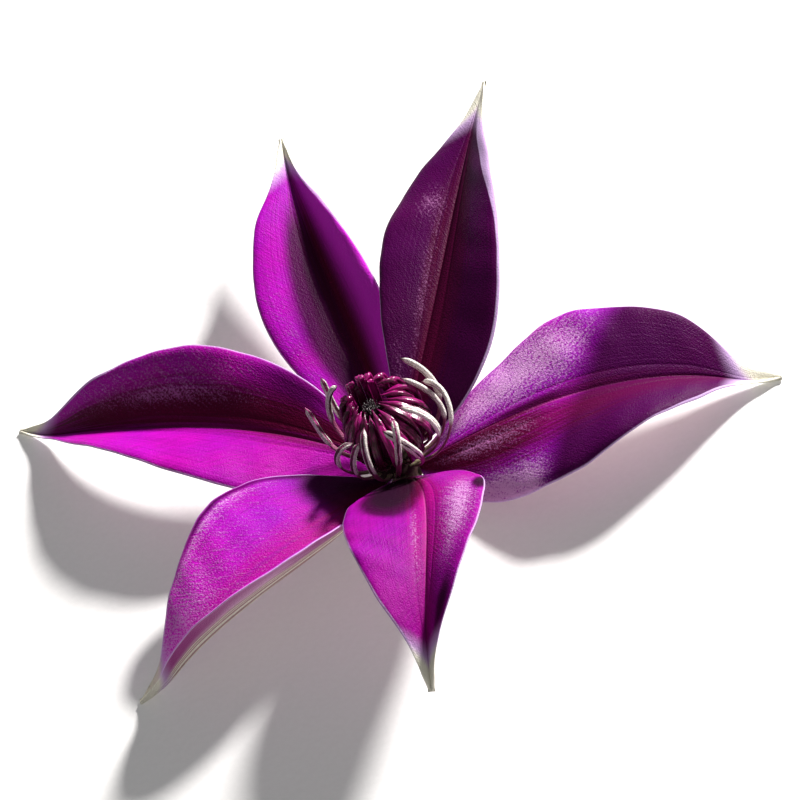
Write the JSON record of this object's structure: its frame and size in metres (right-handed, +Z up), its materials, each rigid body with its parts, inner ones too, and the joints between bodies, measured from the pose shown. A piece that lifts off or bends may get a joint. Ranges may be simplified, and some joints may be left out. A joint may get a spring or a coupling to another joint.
{
  "type": "clematis flower",
  "caption": "Open purple clematis flower lying face up, with pointed spreading tepals round a dome of bent-in stamens.",
  "frame": {"origin": "middle of the flower's box, on the surface it lies on", "axes": "+Z up, along the flower's axis; +Y towards the tepal at the back; +X to the right as seen from the front"},
  "size_m": [0.1492, 0.1546, 0.0282],
  "materials": {
    "tepal": "satin",
    "anther": "satin",
    "pollen": "matte",
    "pistil": "satin",
    "receptacle": "matte"
  },
  "bodies": {
    "root": {"receptacle": "receptacle", "tepal_1": "tepal", "tepal_2": "tepal", "tepal_3": "tepal", "tepal_4": "tepal", "tepal_5": "tepal", "tepal_6": "tepal", "stamens_outer": "pollen", "stamens_inner": "anther", "pistils": "pistil"}
  },
  "joints": []
}
